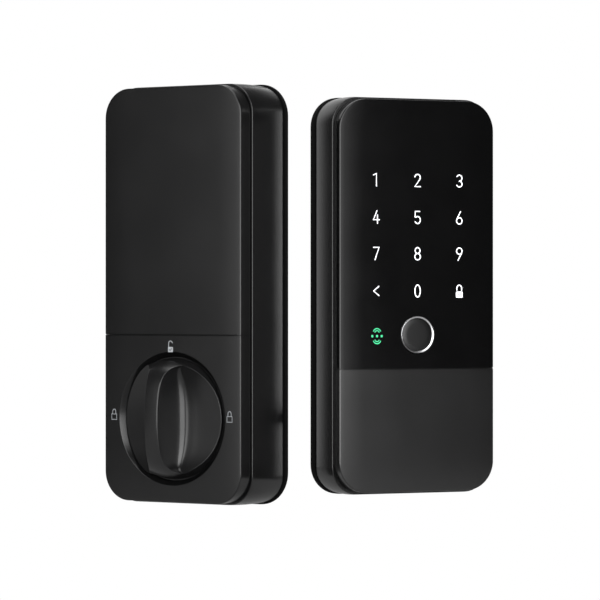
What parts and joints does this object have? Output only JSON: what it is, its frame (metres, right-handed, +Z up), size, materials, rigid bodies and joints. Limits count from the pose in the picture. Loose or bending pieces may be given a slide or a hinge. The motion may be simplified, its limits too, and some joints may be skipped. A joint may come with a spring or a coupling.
{
  "type": "keypad smart lock",
  "caption": "Smart door lock in two slim upright modules: a keypad with fingerprint sensor and sliding keyway cover, and a thumbturn module with a battery behind a sliding cover.",
  "frame": {"origin": "centre of the door's bore on the exterior module's door face", "axes": "+Y into the door, away from the keypad's face; +Z up; +X to the right of someone facing the keypad"},
  "size_m": [0.1314, 0.0849, 0.159],
  "materials": {
    "casing_black": "satin",
    "cover_black": "satin",
    "knob_black": "satin",
    "charcoal_cover": "fine matt",
    "keypad_glass": "gloss, black behind",
    "sensor_black": "satin",
    "ring_metal": "anodised, polished edge",
    "rubber": "matt",
    "plate_steel": "black coated",
    "steel": "plated",
    "brass": "machined",
    "circuit_board": "solder mask",
    "white_plastic": "satin",
    "pull_tab": "woven tape",
    "gear_nylon": "moulded",
    "battery": "satin"
  },
  "bodies": {
    "exterior": {"exterior_gasket": "rubber", "exterior_housing": "casing_black", "keyway_plate": "casing_black", "keypad_frame": "casing_black", "keypad_glass": "keypad_glass", "light_guide": "white_plastic", "fingerprint_ring": "ring_metal", "fingerprint_sensor": "sensor_black", "keypad_circuit_board": "circuit_board", "wireless_module": "steel", "speaker": "steel", "board_connector": "white_plastic", "ranging_antenna": "circuit_board", "cylinder_body": "steel", "mounting_post_left": "steel", "mounting_post_right": "steel", "cable_grommet": "rubber", "usb_port": "steel", "housing_screw_1": "steel", "housing_screw_2": "steel", "housing_screw_3": "steel", "housing_screw_4": "steel"},
    "lower_cover": {"lower_cover": "charcoal_cover"},
    "key_plug": {"key_plug": "brass", "tailpiece": "steel"},
    "interior": {"interior_gasket": "rubber", "mounting_plate": "plate_steel", "interior_housing": "casing_black", "fascia": "cover_black", "battery_pack": "battery", "battery_pull_tab": "pull_tab", "battery_contacts": "brass", "interior_circuit_board": "circuit_board", "control_module": "steel", "setup_switch": "steel", "gearbox_base": "plate_steel", "gearbox_cover": "casing_black", "gear_axle_1": "steel", "gear_axle_2": "steel", "motor": "steel", "thumbturn_bushing": "gear_nylon", "buzzer": "steel", "cable_socket": "white_plastic", "plate_screw_1": "steel", "plate_screw_2": "steel", "plate_screw_3": "steel", "plate_screw_4": "steel"},
    "battery_cover": {"battery_cover": "cover_black"},
    "setup_button": {"setup_button": "white_plastic"},
    "thumbturn": {"thumbturn_knob": "knob_black", "thumbturn_shaft": "steel", "output_gear": "gear_nylon"},
    "second_gear": {"second_gear": "gear_nylon"},
    "first_gear": {"first_gear": "gear_nylon"},
    "motor_pinion": {"motor_pinion": "gear_nylon"}
  },
  "joints": [
    {"name": "halves_close", "type": "hinge", "parent": "exterior", "child": "interior", "pos_m": [-0.02507, 0.02138, 0], "axis": [0, 0, -1], "range_deg": [0, 117]},
    {"name": "keyway_cover_slide", "type": "slide", "parent": "exterior", "child": "lower_cover", "axis": [0, 0, -1], "range_m": [0, 0.032]},
    {"name": "key_turn", "type": "hinge", "parent": "exterior", "child": "key_plug", "pos_m": [0, 0, 0], "axis": [0, -1, 0], "range_deg": [-90, 90]},
    {"name": "thumbturn_turn", "type": "hinge", "parent": "interior", "child": "thumbturn", "pos_m": [-0.0575, 0.033, 0], "axis": [-0.891, -0.454, 0], "range_deg": [-90, 90]},
    {"name": "second_gear_turn", "type": "hinge", "parent": "interior", "child": "second_gear", "pos_m": [-0.06166, 0.04117, 0.01967], "axis": [-0.891, -0.454, 0], "range_deg": [-376, 376]},
    {"name": "first_gear_turn", "type": "hinge", "parent": "interior", "child": "first_gear", "pos_m": [-0.05519, 0.02846, 0.02322], "axis": [-0.891, -0.454, 0], "range_deg": [-938, 938]},
    {"name": "motor_turn", "type": "hinge", "parent": "interior", "child": "motor_pinion", "pos_m": [-0.04864, 0.01561, 0.02042], "axis": [-0.891, -0.454, 0], "range_deg": [-2345, 2345]},
    {"name": "battery_cover_slide", "type": "slide", "parent": "interior", "child": "battery_cover", "axis": [0, 0, 1], "range_m": [0, 0.03]},
    {"name": "setup_press", "type": "slide", "parent": "interior", "child": "setup_button", "axis": [0.891, 0.454, 0], "range_m": [0, 0.001], "stiffness_N_per_m": 400}
  ],
  "couplings": [
    {"joint": "second_gear_turn", "follows": "thumbturn_turn", "ratio": -4.1667},
    {"joint": "first_gear_turn", "follows": "thumbturn_turn", "ratio": 10.417},
    {"joint": "motor_turn", "follows": "thumbturn_turn", "ratio": -26.042}
  ]
}
